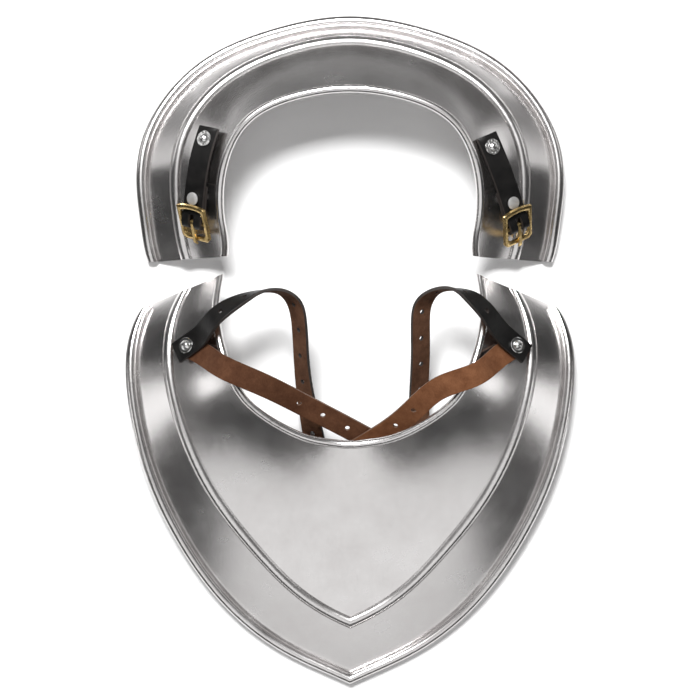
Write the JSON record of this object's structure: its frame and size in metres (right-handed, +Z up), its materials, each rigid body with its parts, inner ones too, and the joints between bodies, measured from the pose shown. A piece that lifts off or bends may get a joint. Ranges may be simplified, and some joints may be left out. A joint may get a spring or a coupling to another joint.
{
  "type": "steel gorget",
  "caption": "Plate gorget laid out unbuckled: a curved back plate and a pointed chest plate with rolled edges and leather straps.",
  "frame": {"origin": "middle of the laid-out pair of plates, on the table", "axes": "+X to the viewer's right across the arms, +Y from the chest plate's point towards the back plate, +Z up off the table"},
  "size_m": [0.3206, 0.48, 0.0723],
  "materials": {
    "steel": "satin, fine brush marks",
    "rivet_steel": "polished, slightly hammered",
    "brass": "worn, dull polish",
    "leather_black": "dyed black grain, brown flesh side",
    "leather_brown": "brown flesh side, fine nap"
  },
  "bodies": {
    "root": {"back_plate": "steel", "front_plate": "steel", "left_back_rivet": "rivet_steel", "left_back_washer": "rivet_steel", "left_buckle": "brass", "left_buckle_strap": "leather_black", "left_flat_rivet": "rivet_steel", "left_front_rivet": "rivet_steel", "left_front_washer": "rivet_steel", "left_lower_strap": "leather_brown", "left_upper_strap": "leather_black", "right_back_rivet": "rivet_steel", "right_back_washer": "rivet_steel", "right_buckle": "brass", "right_buckle_strap": "leather_black", "right_flat_rivet": "rivet_steel", "right_front_rivet": "rivet_steel", "right_front_washer": "rivet_steel", "right_lower_strap": "leather_brown", "right_upper_strap": "leather_black"},
    "left_tongue": {"left_tongue": "brass"},
    "right_tongue": {"right_tongue": "brass"}
  },
  "joints": [
    {"name": "left_tongue_hinge", "type": "hinge", "parent": "root", "child": "left_tongue", "pos_m": [-0.11001, 0.08959, 0.03593], "axis": [-0.8376, 0.216, -0.5017], "range_deg": [0, 110]},
    {"name": "right_tongue_hinge", "type": "hinge", "parent": "root", "child": "right_tongue", "pos_m": [0.11813, 0.08758, 0.03452], "axis": [-0.8319, -0.3949, 0.3899], "range_deg": [0, 110]}
  ]
}
